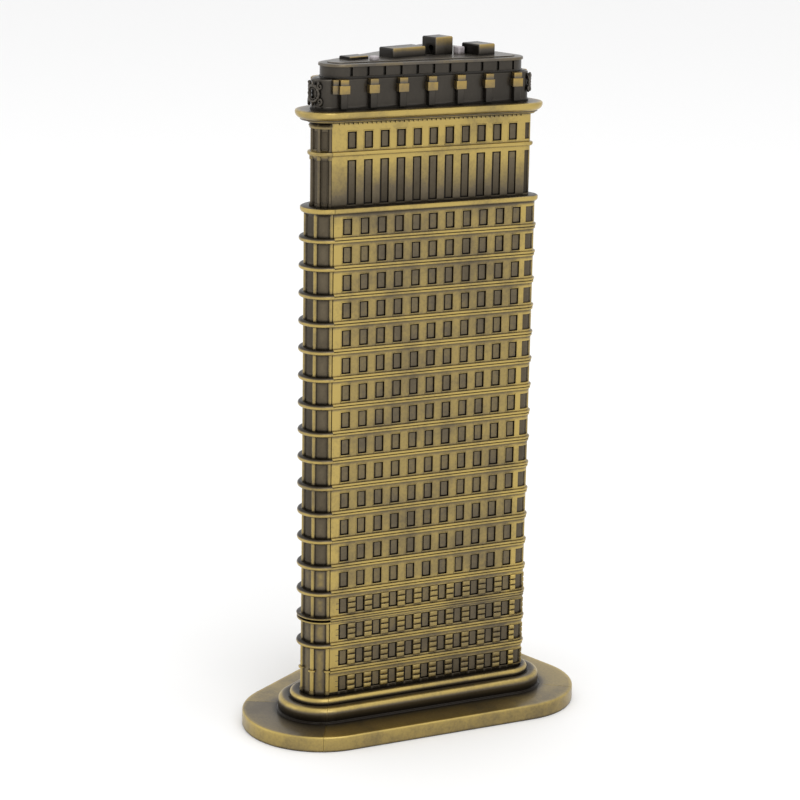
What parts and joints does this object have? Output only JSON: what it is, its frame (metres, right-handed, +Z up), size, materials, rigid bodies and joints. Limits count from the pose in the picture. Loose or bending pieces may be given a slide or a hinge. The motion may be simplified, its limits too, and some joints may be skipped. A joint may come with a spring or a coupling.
{
  "type": "model tower",
  "caption": "Desk-top cast metal model of a wedge-shaped office tower with rows of sunk windows, a rounded prow and a stepped round-cornered base.",
  "frame": {"origin": "on the resting face, in the middle of the base's bounding rectangle", "axes": "+Z up the tower, +Y from the narrow rounded prow to the wide rear wall, +X to the right seen from the prow side with +Z up and +Y away"},
  "size_m": [0.0724, 0.092, 0.1815],
  "materials": {
    "antique_brass": "antique brass plate, relieved on the high edges and dark in the recesses, satin",
    "dark_patina": "brass plate left in its dark brown-black patina, satin",
    "grey_paint": "matt pale grey paint",
    "felt": "pressed wool felt, dark green",
    "solder": "dull tin solder, unseen inside"
  },
  "bodies": {
    "root": {"base_prow": "antique_brass", "base_right": "antique_brass", "base_left": "antique_brass", "base_rear": "antique_brass", "wall_prow": "antique_brass", "wall_right": "antique_brass", "wall_left": "antique_brass", "wall_rear": "antique_brass", "base_felt": "felt", "solder_prow_right": "solder", "solder_prow_left": "solder", "solder_rear_right": "solder", "solder_rear_left": "solder", "cartouche_prow": "dark_patina", "cartouche_right": "dark_patina", "cartouche_left": "dark_patina", "cornice_slab": "antique_brass", "attic_storey": "dark_patina", "parapet": "dark_patina", "roof_deck": "dark_patina", "low_skylight": "dark_patina", "long_skylight": "dark_patina", "lift_house": "dark_patina", "stair_house": "dark_patina", "front_vent": "grey_paint", "rear_vent": "grey_paint"}
  },
  "joints": []
}
